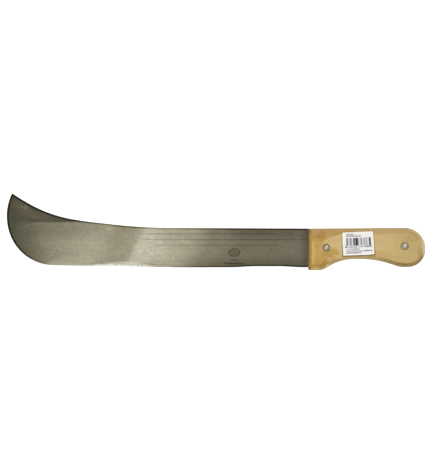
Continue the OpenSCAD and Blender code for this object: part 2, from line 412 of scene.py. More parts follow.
def coated(tone, paint, *coats):  # each coat is the share that it covers and its colour
    for share, colour in coats:
        tone = mixed(share, tone, paint(*colour))
    return tone


def patched(tone, paint, shape, x, y, patches):
    # Soft patches over a tone, each with its middle in the photograph, reach in mm, turn, share and colour
    for middle, reach, turn, share, colour in patches:
        tone = coated(tone, paint, (shape(x, y, atPixel(*middle), reach, turn) * share, colour))
    return tone


def scaled(colour, share):  # a colour made darker or lighter
    return colour.node("ShaderNodeVectorMath", {"operation": "SCALE"}, {0: colour, 3: share})


def tinted(colour, share, tint):  # a colour with its channels scaled, where share is 1
    other = colour.node("ShaderNodeVectorMath", {"operation": "MULTIPLY"}, {0: colour, 1: tint})
    return mixed(share, colour, other)


def joined(x, y, z=0.0):
    return x.node("ShaderNodeCombineXYZ", {}, {0: x, 1: y, 2: z})


def noise(vector, scale=1.0, detail=3.0, roughness=0.6, twist=0.0):
    given = {"Vector": vector, "Scale": scale, "Detail": detail, "Roughness": roughness, "Distortion": twist}
    return vector.node("ShaderNodeTexNoise", {}, given)


def bumped(height, strength, distance):
    return height.node("ShaderNodeBump", {}, {"Height": height, "Strength": strength, "Distance": distance})


def mark(wire, name):
    return wire.node("ShaderNodeAttribute", {"attribute_name": name}, {}, 2)


def newMaterial(name):  # its shader, and the place on the part in mm
    material = bpy.data.materials.new(name)
    material.use_nodes = True
    tree = material.node_tree
    place = Wire(tree).node("ShaderNodeTexCoord", {}, {}, 3)
    return material, tree.nodes["Principled BSDF"], scaled(place, 1 / mm)


def axesOf(place):
    return [place.node("ShaderNodeSeparateXYZ", {}, {0: place}, axis) for axis in range(3)]


def setShader(shader, place, **sockets):
    for name, value in sockets.items():
        place.feed(shader.inputs[name.replace("_", " ")], value)


def linear(value):
    value /= 255
    return value / 12.92 if value <= 0.04045 else ((value + 0.055) / 1.055) ** 2.4


def painter(look):  # its paint gives the colour that shows as a screen colour under the lights
    def paint(*screen):
        return tuple(max(linear(value) - look["gloss"], 0.004) / look["light"] for value in screen) + (1.0,)

    return paint


# Blade: one sheet with its tang

bladeSizes = {
    "top": 12.0, "middle": 11.0,
    "edgeHalf": 0.2,  # half the thickness left on the ground edge
    "edgeBreak": 0.3,  # how far the sheared edges are rounded
    "grooveDepth": 0.25, "grooveFade": 2.5, "grooveRunOut": 3.2,
    "grooveLeast": 40.0,  # a shorter opening in the side isn't a groove
    "grooveRows": (-1.15, -0.6, 0, 0.6, 1.15), "grooveStep": 2.4,
    "waves": 0.025,  # how far the sides are from flat
    "stampPlace": atPixel(233.8, 251.9), "stampReach": (6.2, 4.4), "stampDepth": 0.12,
    "stampRows": (  # from, to, middle, height, pitch and slope of the dashes below it
        (-4.4, 4.4, -9.1, 0.9, 2.2, 0.0), (-13.2, 12.4, -13.2, 1.5, 2.56, 0.047),
    ),
    "spacing": 1.2, "clear": 0.28,  # between the mesh's points along the outline, and from it
    "dots": 2.8, "tangDots": 9.0, "stampDots": 0.55,
}


def stampMark(points):  # a blank oval in an oval ring with plain dashes below it, 1 in them and 0 elsewhere
    size = bladeSizes
    x, y = points[:, 0] - size["stampPlace"][0], points[:, 1] - size["stampPlace"][1]
    spread = np.sqrt((x / size["stampReach"][0]) ** 2 + (y / size["stampReach"][1]) ** 2)
    ring = (1 - smoothStep(np.abs(spread - 1), 0.08, 0.24)) * (0.75 + 0.25 * np.sin(x * 1.9 + y * 2.7))
    blank = 0.42 * (1 - smoothStep(spread, 0.9, 1.1))
    rows = [barMark(x, y + x * slope, *row) for *row, slope in size["stampRows"]]
    return np.maximum.reduce([ring, blank, *rows])


def barMark(x, y, x0, x1, middle, height, pitch):  # a row of dashes
    across = 1 - smoothStep(np.abs(y - middle), height / 2 - 0.2, height / 2 + 0.3)
    share = np.abs(((x - x0) / pitch) % 1 - 0.5)
    return across * (1 - smoothStep(share, 0.3, 0.42)) * ((x > x0) & (x < x1))


def grooveStrips(cuts, handleFront):  # from, to, middle and half width of each groove
    size = bladeSizes
    strips = []
    for cut in cuts:
        (x0, y0), (x1, y1) = cut.min(0), cut.max(0)
        if x1 - x0 < size["grooveLeast"]:
            continue
        x0, x1 = x0 - size["grooveRunOut"], x1 + size["grooveRunOut"]
        x1 = x1 if handleFront - x1 > 8 else handleFront + 2  # near the grip it runs on under the wood
        strips.append((x0, x1, (y0 + y1) / 2, (y1 - y0) / 2))
    return strips


def grooveMark(x, y, strips):  # 1 along the middle of a groove, 0 beside it
    fade = bladeSizes["grooveFade"]
    groove = np.zeros(len(x))
    for x0, x1, middle, half in strips:
        ends = smoothStep(x, x0, x0 + fade) * smoothStep(-x, -x1, fade - x1)
        groove = np.maximum(groove, np.clip(1 - ((y - middle) / half) ** 2, 0, 1) * ends)
    return groove


def makeBlade():
    size = bladeSizes
    outer, *holes = sliceLoops("blade", size["middle"])
    side, *cuts = sliceLoops("blade", size["top"] - 0.01)
    edge, inner = (smoothLoop(loop, size["spacing"]) for loop in (outer, side))
    borders = [edge] + [smoothLoop(hole, 0.5, 60) for hole in holes]
    lines = [
        (insetLoop(edge, size["edgeBreak"], size["spacing"]), True),
        (inner[distanceTo(inner, edge) > 0.12], False),
    ]
    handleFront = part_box("grip_scale_upper")[0].x / mm
    strips = grooveStrips(cuts, handleFront)
    for x0, x1, middle, half in strips:
        xs = np.arange(x0, x1, size["grooveStep"])
        for share in size["grooveRows"]:
            lines.append((np.column_stack([xs, np.full(len(xs), middle + share * half)]), False))
    low, high = edge.min(0), edge.max(0)
    sx, sy = size["stampPlace"]
    dots = np.vstack([
        dotsIn((low, (handleFront + 4, high[1])), size["dots"]),
        dotsIn(((handleFront + 4, low[1]), high), size["tangDots"]),
        dotsIn(((sx - 14, sy - 15), (sx + 14, sy + 6)), size["stampDots"], 0.05),
    ])
    flat, faces = fillFlat(borders, lines, dots, size["clear"])
    # Where the side ends short of the edge, the sheet thins down to the ground edge
    fromEdge, fromSide = distanceTo(flat, edge), distanceTo(flat, inner)
    ground = ~isInside(flat, [inner]) & (fromSide > 0.02)
    width = np.where(ground, fromEdge + fromSide, 0)
    width = np.where(fromEdge < 0.02, fromSide, width)
    share = fromEdge / np.maximum(fromEdge + fromSide, 1e-6)
    full = size["top"] - size["middle"]
    sheet = full - size["edgeBreak"] * (1 - np.clip(fromEdge / size["edgeBreak"], 0, 1)) ** 2
    bevel = size["edgeHalf"] + (full - size["edgeHalf"]) * share
    half = sheet + (np.minimum(bevel, sheet) - sheet) * smoothStep(width, 0.1, 0.7)
    x, y = flat[:, 0], flat[:, 1]
    groove = grooveMark(x, y, strips)
    half -= size["grooveDepth"] * groove
    onBlade = smoothStep(-x, -handleFront + 1, -handleFront + 8)
    wave = np.sin(x / 23 + y / 31) * np.sin(x / 41 - y / 17 + 1.3) * size["waves"] * onBlade
    stamp = stampMark(flat)
    top = size["middle"] + half - np.abs(wave) - size["stampDepth"] * stamp
    bottom = size["middle"] - half + np.abs(wave) * 0.7
    facet = smoothStep(fromSide, 0, 0.5) * (width > 0.1)
    marks = {"edgeGap": fromEdge, "groove": groove, "stamp": (stamp, 0 * stamp), "facet": facet}
    return platePiece("bladeSteel", flat, faces, top, bottom, marks, 7)


steelLook = {
    "light": 1.45, "gloss": 0.0,
    "roughness": 0.4, "metallic": 0.9,
    # where the painted bright sheen begins, how its border leans and how soft it is
    "brightBorder": atPixel(133.5, 247), "borderLean": 0.4, "borderBlur": 4.2,
    "duskTop": yAt(221.7),  # the unrubbed corner at the tip lies above this line
    "edgeShadeLine": 2.0,  # how wide the painted shade line along the edges is
    "streaks": 0.34, "mottling": 0.44,
    "duskPatches": (  # middle in the photograph, reach in mm, turn, share, colour
        ((22, 208), (16, 10), -25, 0.6, (103, 100, 84)),
        ((37, 215.5), (22, 7), -14, 0.75, (106, 95, 79)),
    ),
    "smudges": (
        ((24, 206.5), (6.4, 3.0), -20, 0.6, (124, 124, 104)),
        ((23.2, 204.3), (1.5, 3.4), 0, 0.7, (72, 73, 54)),
        ((13, 222), (7, 22), 0, 0.35, (70, 76, 61)),
        ((108.5, 228.4), (6.5, 1.3), -3, 0.55, (186, 182, 160)),
        ((57, 250.5), (1.7, 1.7), 0, 0.7, (92, 88, 74)),
        ((136, 238), (9, 9), 0, 0.35, (158, 153, 130)),
    ),
}


def paintedSheenTone(paint, x, y, cloud, hatch):  # painted reflection: dark round the belly, a painted bright sheen in the middle of the sheet
    look = steelLook
    lean = y - yAt(245)
    along = x + lean * 0.38 * softX(x, 80, 30) + (cloud - 0.5) * 12
    leftTone = tones(along, xAt, paint, (0, 140), [
        (8, (80, 78, 62)), (22, (95, 91, 74)), (34, (114, 109, 89)), (48, (136, 130, 110)),
        (68, (155, 149, 128)), (88, (169, 163, 141)), (106, (156, 151, 129)), (118, (151, 145, 123)),
        (136, (158, 152, 130)),
    ])
    shifted = x - lean * 0.55 * betweenX(x, 184, 240, 12) + (cloud - 0.5) * 12
    rightTone = tones(shifted, xAt, paint, (120, 312), [
        (124, (184, 178, 158)), (138, (190, 184, 164)), (148, (192, 186, 168)), (160, (183, 177, 158)),
        (172, (173, 167, 144)), (190, (158, 152, 131)), (208, (132, 126, 107)), (226, (122, 116, 97)),
        (240, (114, 108, 89)), (262, (113, 106, 88)), (294, (112, 106, 88)), (309, (112, 107, 90)),
    ])
    borderX, borderY = look["brightBorder"]
    border = x - borderX - (y - borderY) * look["borderLean"] + (hatch - 0.5) * 12
    blur = look["borderBlur"] * (1 + softY(y, 252, 264) * 0.8 + softY(y, 242, 231) * 1.1)
    tone = mixed(soft(border, blur * -1.0, blur), leftTone, rightTone)
    # Painted shade: darker towards the spine and the edge, and a painted shadow by the grip
    topShare = levels(
        x, (20, 0.32), (60, 0.22), (88, 0.22), (108, 0.48), (128, 0.35), (150, 0.46), (168, 0.4), (184, 0.42),
        (200, 0.38), (225, 0.29), (245, 0.2), (290, 0.16), (304, 0.33),
    )
    lowShare = levels(
        x, (50, 0.64), (70, 0.66), (90, 0.5), (110, 0.38), (130, 0.5), (150, 0.25), (170, 0.37), (200, 0.28),
        (250, 0.2), (288, 0.14), (298, 0.14), (305, 0.28),
    )
    towardsTop = 1 + softY(y, 245, 229) * (topShare - 0.5)
    towardsLow = 1 + softY(y, 252, 265) * (lowShare - 0.5)
    return scaled(tone, towardsTop * towardsLow * (1 - softX(x, 298, 304.5) * 0.27))


def groundEdgeSheen(tone, paint, x, lower, gap, facet, hatch):
    # The ground edge in painted reflection: a pale rim behind the belly, a dark streak, then a painted
    # highlight on the facet in the middle
    rim = betweenX(x, 47, 92, 3) * soft(gap, 5.0, 2.5) * lower
    streak = betweenX(x, 94, 106, 3) * between(gap, 3.8, 6.6, 1.0) * lower
    tone = coated(tone, paint, (rim * 0.5, (182, 182, 166)), (streak * 0.6, (143, 142, 118)))
    # how far the painted highlight reaches up the facet
    reach = 10 * levels(
        x, (92, 0.26), (103, 0.46), (113, 0.62), (121, 0.76), (131, 0.8), (142, 0.48), (155, 0.32),
    )
    bright = betweenX(x, 93, 149, 8) * soft(gap + (hatch - 0.5) * 2, reach, reach * 0.4) * lower
    ground = mixed(softX(x, 120, 129), paint(238, 239, 230), paint(217, 216, 202))
    return mixed(bright * 0.95, tone, mixed(facet, paint(211, 209, 190), ground))


def edgeShadeLine(x, lower, gap):  # where the painted line of shade along the edges shows
    spineLine = levels(
        x, (60, 1.0), (84, 0.85), (97, 0.65), (106, 0.4), (120, 0.75), (137, 0.75), (150, 0.45), (170, 0.35),
        (200, 0.65), (235, 1.0),
    )
    lowerLine = levels(x, (18, 1.0), (26, 0.5), (32, 0.1), (50, 0.0), (170, 0.0), (192, 0.6), (235, 1.0))
    lineGap = gap / (1 + 0.3 * softX(x, 84, 56))
    width = steelLook["edgeShadeLine"]
    return soft(lineGap, width * 1.15, width * 0.65) * mixedNumber(lower, spineLine, lowerLine)


def steelMaterial():
    look = steelLook
    paint = painter(look)
    material, shader, place = newMaterial("bladeSteelFinish")
    x, y, z = axesOf(place)
    streaks = noise(joined(x * 0.012, y * 1.1, z * 0.4), 1.0, 4.0, 0.62)
    fine = noise(joined(x * 0.05, y * 5.0, z), 1.0, 2.0, 0.5)
    cloud = noise(place, 0.06, 4.0, 0.6, 0.4)
    blots = noise(place, 0.32, 3.0, 0.65)
    mottle = noise(joined(x * 0.12, y * 0.2, z * 0.2))
    hatch = noise(joined(x * 0.12 + y * 0.16, y * 0.9 - x * 0.12, z), 1.0, 4.0, 0.7)
    grit = noise(joined(x * 0.5, y * 0.85, z), 1.0, 3.0, 0.65)
    gap, facet, groove, stamp = (mark(place, name) for name in ("edgeGap", "facet", "groove", "stamp"))
    tone = paintedSheenTone(paint, x, y, cloud, hatch)
    tone = tinted(tone, soft(gap, 8, 2), (1.0, 1.0, 0.92))
    # Unrubbed corner at the tip, its lower border soft near the point
    dusk = mixed(blots, paint(80, 76, 59), paint(93, 89, 73))
    dusk = patched(dusk, paint, oval, x, y, look["duskPatches"])
    duskBlur = 1.0 + 7 * softX(x, 36, 18)
    fromDusk = y - look["duskTop"] + (blots - 0.5) * 1.6
    inDusk = soft(fromDusk, duskBlur * -1.0, duskBlur) * softX(x, 84, 70)
    tone = mixed(inDusk * 0.93, tone, dusk)
    tone = patched(tone, paint, oval, x, y, look["smudges"])
    # The edges, in painted sheen and painted shade
    lower = softY(y, 246, 252)
    # a painted sheen band above the lower edge behind the belly
    band = betweenX(x, 50, 97, 7) * softY(y, 258, 261.5)
    tone = mixed(band * 0.5, tone, paint(164, 163, 136))
    tone = groundEdgeSheen(tone, paint, x, lower, gap, facet, hatch)
    tone = mixed(edgeShadeLine(x, lower, gap), tone, paint(38, 37, 24))
    # Rubbing, mottling, grooves and stamp
    variety = 1 + (streaks - 0.5) * look["streaks"] + (mottle - 0.5) * look["mottling"]
    scratched = softX(x, 120, 140) * softX(x, 205, 170)
    variety = variety + (fine - 0.5) * 0.16 + (blots - 0.5) * 0.34 + (hatch - 0.5) * 0.62 * scratched
    variety = variety + (grit - 0.5) * (0.12 + 0.75 * softX(x, 215, 150))
    grooveShade = (streaks - 0.5) * 0.6 + 0.03 * betweenY(y, 241, 237, 1.5) - 0.12
    # the ground facet is made brighter as a painted highlight
    shaded = scaled(tone, variety * (1 - groove * grooveShade) * (1 + facet * 0.5))
    shaded = tinted(shaded, stamp, (0.44, 0.4, 0.31))
    setShader(
        shader, place, Base_Color=shaded, Metallic=look["metallic"],
        Roughness=look["roughness"] + (streaks - 0.5) * 0.16 + inDusk * 0.1 + stamp * 0.1,
        Normal=bumped(streaks * 0.6 + fine * 0.4, 0.12, 0.0002),
    )
    return material


finished(makeBlade(), steelMaterial(), "blade_steel", "blade")


# Paper label on the upper scale

labelSizes = {
    "length": 37.0, "width": 27.5, "turn": 2.4, "thick": 0.12,
    "skew": 0.9, "curl": 0.6, "taper": 0.3,  # how far its corners fall short of a rectangle's
    "corner": 0.7, "edgeLift": 0.1, "edgeReach": 3.5,
    "cornerLift": 0.45, "cornerReach": 7, "curlReach": 9,
    "lifted": ((1, 0, 1.0), (0, 0, 0.4), (1, 1, 0.3)),  # corners, and how much of the lift each gets
    "dots": 1.1,
}


def roundedSheet(length, width, corner, steps=5):
    points = []
    for k, (sx, sy) in enumerate([(1, 1), (-1, 1), (-1, -1), (1, -1)]):
        for i in range(steps + 1):
            angle = math.radians(90 * (k + i / steps))
            x = sx * (length / 2 - corner) + corner * math.cos(angle)
            y = sy * (width / 2 - corner) + corner * math.sin(angle)
            points.append((x, y))
    return evenLoop(np.array(points), 1.0)


def makeLabel():
    size = labelSizes
    low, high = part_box("paper_label")
    middle = (low + high) / 2 / mm
    border = roundedSheet(size["length"], size["width"], size["corner"])
    dots = dotsIn((border.min(0), border.max(0)), size["dots"], 0.1)
    flat, faces = fillFlat([border], [], dots, 0.45)
    u, v = flat[:, 0] / size["length"] + 0.5, flat[:, 1] / size["width"] + 0.5
    gap = distanceTo(flat, border)
    ripple = 0.5 + 0.5 * np.sin(u * 19 + v * 7) * np.sin(v * 16 - u * 3)
    lift = size["edgeLift"] * ripple * (1 - smoothStep(gap, 0, size["edgeReach"]))

    def fromCorner(cornerU, cornerV):
        return np.hypot((u - cornerU) * size["length"], (v - cornerV) * size["width"])

    for cornerU, cornerV, share in size["lifted"]:
        reach = fromCorner(cornerU, cornerV)
        lift += size["cornerLift"] * share * (1 - smoothStep(reach, 0, size["cornerReach"]))
    bottom = low.z / mm + 0.01 + lift
    along = flat[:, 0] - size["skew"] * u * v
    across = flat[:, 1] + size["curl"] * (1 - smoothStep(fromCorner(1, 0), 0, size["curlReach"]))
    across = across + size["taper"] * (1 - u) * (1 - v)
    turn = math.radians(size["turn"])
    x = middle.x + along * math.cos(turn) - across * math.sin(turn)
    y = middle.y + along * math.sin(turn) + across * math.cos(turn)
    placed = np.column_stack([x, y])
    marks = {"labelU": u, "labelV": v, "edgeGap": gap}
    return platePiece("paperLabel", placed, faces, bottom + size["thick"], bottom, marks, 40)


labelLook = {
    "light": 1.05, "gloss": 0.032,
    "barPitch": 0.62, "barRows": (11.3, 20.6),
    "lines": (  # from and to along the label, its middle across it, height, density
        (4.5, 13.6, 24.8, 1.4, 0.9), (4.5, 22.3, 22.7, 1.6, 0.8), (2.9, 5.1, 10.0, 2.2, 1.2),
        (6.6, 17.4, 9.8, 1.5, 0.75), (18.5, 25.0, 10.0, 1.6, 0.6), (25.8, 34.6, 10.2, 1.8, 0.9),
        (3.9, 13.0, 7.3, 1.3, 0.6), (13.0, 19.6, 7.3, 1.4, 0.85), (3.9, 28.0, 5.0, 1.5, 0.62),
        (26.6, 35.2, 5.1, 1.5, 0.85), (3.9, 21.6, 2.9, 1.7, 0.7),
    ),
    "bars": (  # from and to along the label, darkness
        (4.2, 6.3, 0.65), (8.7, 10.7, 0.52), (12.4, 15.2, 0.62), (15.6, 17.95, 1.1), (17.95, 19.6, 0.3),
        (21.4, 23.1, 0.5), (25.0, 26.7, 0.4), (27.9, 29.2, 0.34), (31.65, 33.6, 1.15),
    ),
}


def labelShadow(x, y):  # painted shadow of the paper on the wood just outside it, strongest below
    low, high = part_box("paper_label")
    along, across = alongAcross(x, y, (low + high) / 2 / mm, labelSizes["turn"])
    beyondEnd, beyondSide = abs(along) - labelSizes["length"] / 2, abs(across) - labelSizes["width"] / 2
    out = beyondEnd.maths("MAXIMUM", beyondEnd, beyondSide)
    lower, right = soft(across, 6, -12), soft(along, 18, 18.6)
    return soft(out, 1.7, 0.4) * (0.3 + 0.6 * lower) * (1 - 0.5 * right * (1 - 0.8 * lower))


def labelMaterial():
    look = labelLook
    paint = painter(look)
    material, shader, place = newMaterial("labelPaperFinish")
    u, v = mark(place, "labelU") * labelSizes["length"], mark(place, "labelV") * labelSizes["width"]
    wear = noise(place, 0.25)
    column = u.maths("FLOOR", u / look["barPitch"])
    pick = column.node("ShaderNodeTexWhiteNoise", {"noise_dimensions": "1D"}, {1: column * 0.731 + 3.0})
    first, last = look["bars"][0], look["bars"][-1]
    ink = 0.2 * between(u, first[0] + 0.2, last[1], 0.15) * (0.5 + pick)
    for u0, u1, dark in look["bars"]:
        ink = ink + between(u, u0, u1, 0.35) * dark
    ink = ink * between(v, *look["barRows"], 0.3) * (0.85 + 0.3 * wear)
    for number, (u0, u1, middle, height, density) in enumerate(look["lines"]):  # grey lines, uneven in tone
        inLine = between(u, u0, u1, 0.2) * between(v, middle - height / 2, middle + height / 2, 0.2)
        broken = noise(joined(u * 1.4 + number * 7.3, v * 0.6), 1.0, 1.0, 0.5)
        ink = ink + inLine * density * (0.5 + 0.5 * soft(broken, 0.38, 0.6))
    ink = ink.node("ShaderNodeClamp", {}, {0: ink})
    paper = mixed(wear, paint(230, 228, 230), paint(242, 239, 238))
    paper = mixed(soft(mark(place, "edgeGap"), 2.6, 0.6) * 0.75, paper, paint(249, 244, 228))
    setShader(
        shader, place, Base_Color=mixed(ink, paper, paint(32, 33, 36)),
        Roughness=0.62 + wear * 0.1 - ink * 0.12, Normal=bumped(wear, 0.08, 0.0003),
    )
    return material


finished(makeLabel(), labelMaterial(), "label_paper", "paper_label")


# Grip scales: two slabs of pale wood with rounded outer edges

scaleSizes = {
    "roundRadius": 5.5, "roundWidth": 3.8, "roundSteps": 10,
    "roundEnd": 0.35, "roundDip": 0.05,  # the soft end of the rounding on the outer face
    "innerBreak": 0.25,
    "recess": 4.4, "recessDepth": 2.0, "lip": 0.35, "lipDip": 0.18,
    "waves": 0.07,
    "spacing": 1.5, "clear": 0.5, "dots": 3.0,
}


def makeScale(name, node, upper):
    size = scaleSizes
    low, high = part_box(node)
    inside, outside = (low.z / mm, high.z / mm) if upper else (high.z / mm, low.z / mm)
    away = 1 if upper else -1
    outer, *holes = sliceLoops(node, inside + away * 1.0)
    edge = smoothLoop(outer, size["spacing"])
    shanks = [smoothLoop(hole, 0.6, 60) for hole in holes]
    radius, width, end = size["roundRadius"], size["roundWidth"], size["roundEnd"]
    recess, lipEnd = size["recess"], size["recess"] + size["lip"]
    lastAngle = math.acos(1 - width / radius)
    angles = [lastAngle * k / size["roundSteps"] for k in range(1, size["roundSteps"] + 1)]
    depths = [radius * (1 - math.cos(a)) for a in angles] + [width + end]
    lines = [(insetLoop(edge, depth, size["spacing"]), True) for depth in depths]
    middles = [hole.mean(0) for hole in holes]
    rings = (recess - 0.04, recess + 0.04, lipEnd)
    lines += [(circle(*middle, ring), True) for middle in middles for ring in rings]
    dots = dotsIn((edge.min(0), edge.max(0)), size["dots"])
    flat, faces = fillFlat([edge] + shanks, lines, dots, size["clear"])
    # How far the face drops: round the edge, at the lips of the recesses, and in ripples
    gap = distanceTo(flat, edge)
    rise = np.sqrt(np.maximum(radius**2 - (radius - np.clip(gap, 0, width)) ** 2, 0))
    drop = math.sqrt(radius**2 - (radius - width) ** 2) - rise
    drop = np.where(gap > width, 0, drop)
    drop += size["roundDip"] * (1 - smoothStep(gap, width, width + end)) * (gap > width - 0.01)
    fromRivet = np.min([np.hypot(*(flat - middle).T) for middle in middles], axis=0)
    lip = size["lipDip"] * (1 - smoothStep(fromRivet, recess, lipEnd))
    drop = np.where(fromRivet < recess + 1, lip, drop)
    drop = np.where(fromRivet < recess, size["recessDepth"], drop)
    x, y = flat[:, 0], flat[:, 1]
    wave = np.sin(x / 13 + y / 9 + (0 if upper else 2)) * np.sin(x / 7.3 - y / 11) * 0.5 + 0.5
    drop += size["waves"] * wave * smoothStep(gap, 0.5, 5) * (fromRivet > recess + 1)
    outerFace = outside - away * drop
    innerFace = inside + away * size["innerBreak"] * np.clip(1 - gap / 0.2, 0, 1)
    top, bottom = (outerFace, innerFace) if upper else (innerFace, outerFace)
    marks = {"edgeGap": gap, "rivetGap": fromRivet}
    return platePiece(name, flat, faces, top, bottom, marks, 32)


woodLook = {
    "light": 1.05, "gloss": 0.062,
    "tongue": atPixel(321, 246), "tongueCurve": 0.0214, "tonguePower": 2.6,  # how the pale wood ends
    "patches": (  # middle in the photograph, reach in mm, turn, share, colour
        ((320, 234.5), (8.5, 5.5), 12, 0.75, (173, 137, 73)),  # brown blotch behind the front edge
        ((321, 233.8), (5, 2.6), 20, 0.6, (163, 126, 64)),
        ((315, 233.2), (2.2, 2.2), 0, 0.7, (197, 162, 98)),
        ((311.6, 234.6), (1.7, 8), 0, 0.75, (158, 120, 58)),
        ((328.5, 235.5), (4.5, 3.6), 10, 0.55, (194, 163, 110)),
        # painted highlight beside the front rivet
        ((329.5, 244), (3.4, 2.2), 0, 0.5, (212, 190, 150)),
        ((331.3, 253.2), (9.5, 5.8), -8, 0.8, (180, 144, 70)),  # dark golden patch below the rivet
        ((322, 264.6), (3.8, 1.2), 38, 0.8, (126, 90, 36)),  # dark streak above the lower edge
        ((325, 260), (8, 2.6), 52, 0.4, (166, 129, 64)),
        ((334, 250), (5.5, 2.6), 10, 0.5, (189, 158, 92)),
        ((337, 256.8), (6, 3.0), -25, 0.65, (208, 177, 126)),
        ((331, 260), (8, 3.8), -30, 0.6, (196, 171, 124)),
        ((370, 256.4), (7, 1.5), 0, 0.6, (163, 139, 94)),
        ((380, 254.5), (15, 5.5), -14, 0.5, (192, 158, 98)),
        ((316.5, 264.6), (10, 1.9), 0, 0.75, (170, 131, 70)),  # crease above the lower front edge
        ((412, 238), (11, 5), 0, 0.5, (177, 156, 104)),
        ((419, 250), (2.8, 9), 0, 0.6, (172, 143, 94)),
    ),
    "topPatches": (
        ((321.5, 231.6), (6, 3), -8, 0.6, (166, 130, 68)),
    ),
    "lowPatches": (
        # painted shade on the dark ridge of the lower rounding at the butt
        ((402, 263.3), (8, 1.7), -14, 0.5, (128, 99, 54)),
        ((314.5, 267.6), (7, 1.8), 0, 0.65, (208, 176, 116)),
        ((327, 264.6), (4, 1.5), 38, 0.7, (216, 190, 138)),
    ),
}


def plainWood(paint, place, x, y, z, swirl):  # pale wood behind golden heartwood, and how much of the latter
    look = woodLook
    cloud = noise(place, 0.045, 3.0, 0.55, 0.3)
    figure = noise(joined(x * 0.5 + y * 0.4, y * 1.2 - x * 0.55, z), 0.34, 3.0, 0.6, 1.0)
    wide = noise(joined(x * 0.25, y, z), 0.22, 2.0, 0.5, 0.6)
    pale = tones(x + (cloud - 0.5) * 30, xAt, paint, (322, 424), [
        (326, (206, 182, 129)), (346, (203, 179, 127)), (378, (204, 180, 128)),
        (394, (197, 173, 121)), (406, (192, 168, 118)), (420, (187, 163, 112)),
    ])
    pale = mixed(soft(wide, 0.42, 0.66) * 0.45, pale, paint(193, 164, 108))
    dy = y - look["tongue"][1]
    tongue = x - look["tongue"][0] - abs(dy) ** look["tonguePower"] * look["tongueCurve"] + (swirl - 0.5) * 6
    heart = soft(tongue, 2.5, -2.0) * softX(x, 366, 348)
    golden = tones(y, yAt, paint, (264, 230), [
        (263, (189, 152, 88)), (257, (196, 159, 95)), (248, (198, 167, 98)), (240, (191, 156, 91)),
        (234, (183, 149, 85)),
    ])
    figured = soft(figure, 0.5, 0.64) * (0.25 + 0.4 * softY(y, 243, 238))
    golden = coated(golden, paint, (soft(swirl, 0.4, 0.62) * 0.45, (181, 144, 78)), (figured, (164, 128, 66)))
    tone = mixed(heart, pale, golden)
    rimLine = between(tongue, -4.2, -1.0, 1.2) * softY(y, 245, 239) * softX(x, 352, 340)
    tone = mixed(rimLine * 0.3, tone, paint(178, 145, 86))
    wobbleX, wobbleY = x + (swirl - 0.5) * 5, y + (swirl - 0.5) * 4
    return patched(tone, paint, firmOval, wobbleX, wobbleY, look["patches"]), heart, wide


def roundedBorderShading(tone, paint, place, x, y, gap):  # painted light and shade on the rounded border: a dark crease line, darker on the lower side, a pale highlight at the butt and a dark outline at the very edge
    low = softY(y + 7 * softX(x, 412, 421), 244, 252)
    right, butt = softX(x, 374, 392), softX(x, 404, 417)
    # painted shade on the top rounding
    topBand = soft(gap, 8.5, 5.5) * softY(y, 246, 238)
    tone = coated(tone, paint, (topBand * 0.75, (180, 152, 104)))
    tone = patched(tone, paint, oval, x, y, woodLook["topPatches"])
    # patches that make the painted crease shade uneven
    wearAndShade = soft(noise(place, 0.09), 0.36, 0.6)
    creased = low * (0.35 + 0.6 * right) + (1 - low) * right * 0.35 * softX(x, 396, 412)
    crease = between(gap, 3.1, 4.7, 0.9) * creased * (0.55 + 0.45 * wearAndShade)
    tone = mixed(crease, tone, paint(148, 117, 66))
    # painted shade on the outer part of the rounding, darker on the lower side, with a painted highlight at
    # the butt
    outside = soft(gap, mixedNumber(low, 2.6, 3.5), mixedNumber(low, 1.2, 2.5))
    lowRim = mixed(right, paint(172, 152, 111), paint(130, 109, 72))
    highRim = mixed(butt, paint(155, 132, 96), paint(202, 184, 146))
    tone = mixed(outside * 0.75, tone, mixed(low, highRim, lowRim))
    # painted highlight on the butt's rim
    buttHighlight = softX(x, 415, 421) * betweenY(y, 249, 236, 3) * 0.25
    buttHighlight = buttHighlight + softX(x, 420.8, 422.6) * betweenY(y, 254, 236, 3) * 0.45
    tone = mixed(buttHighlight, tone, paint(212, 197, 165))
    # a painted dark outline of shade at the very edge
    lastTone = mixed(right * low, paint(152, 145, 124), paint(112, 98, 72))
    lastTone = mixed((1 - low) * (1 - butt), lastTone, paint(134, 112, 76))
    tone = mixed(soft(gap, 1.3, 0.3) * 0.63, tone, lastTone)
    return patched(tone, paint, oval, x, y, woodLook["lowPatches"])


def frontEndShading(tone, paint, x, y, swirl, wide, face):  # painted highlight on the front ridge, painted shade on the rounding towards the blade, a painted shadow by the blade and painted shade in the corners
    frontX = x + (swirl - 0.5) * 2.5 + (wide - 0.5) * 3
    ridge = betweenX(frontX, 311.3, 313.6, 1.0) * softY(y, 238, 243) * softY(y, 265, 262.5)
    corner = softY(y, 265, 267.5) * 0.8 + softY(y, 234, 231)
    return coated(
        tone, paint,
        (ridge * 0.8, (212, 179, 114)),
        (softX(frontX, 312.0, 310.2) * face * 0.8, (178, 144, 84)),
        (softX(x, 310.0, 308.6) * face * 0.6, (144, 122, 84)),
        (corner * softX(x, 311.4, 309.6) * face * 0.6, (112, 90, 48)),
    )


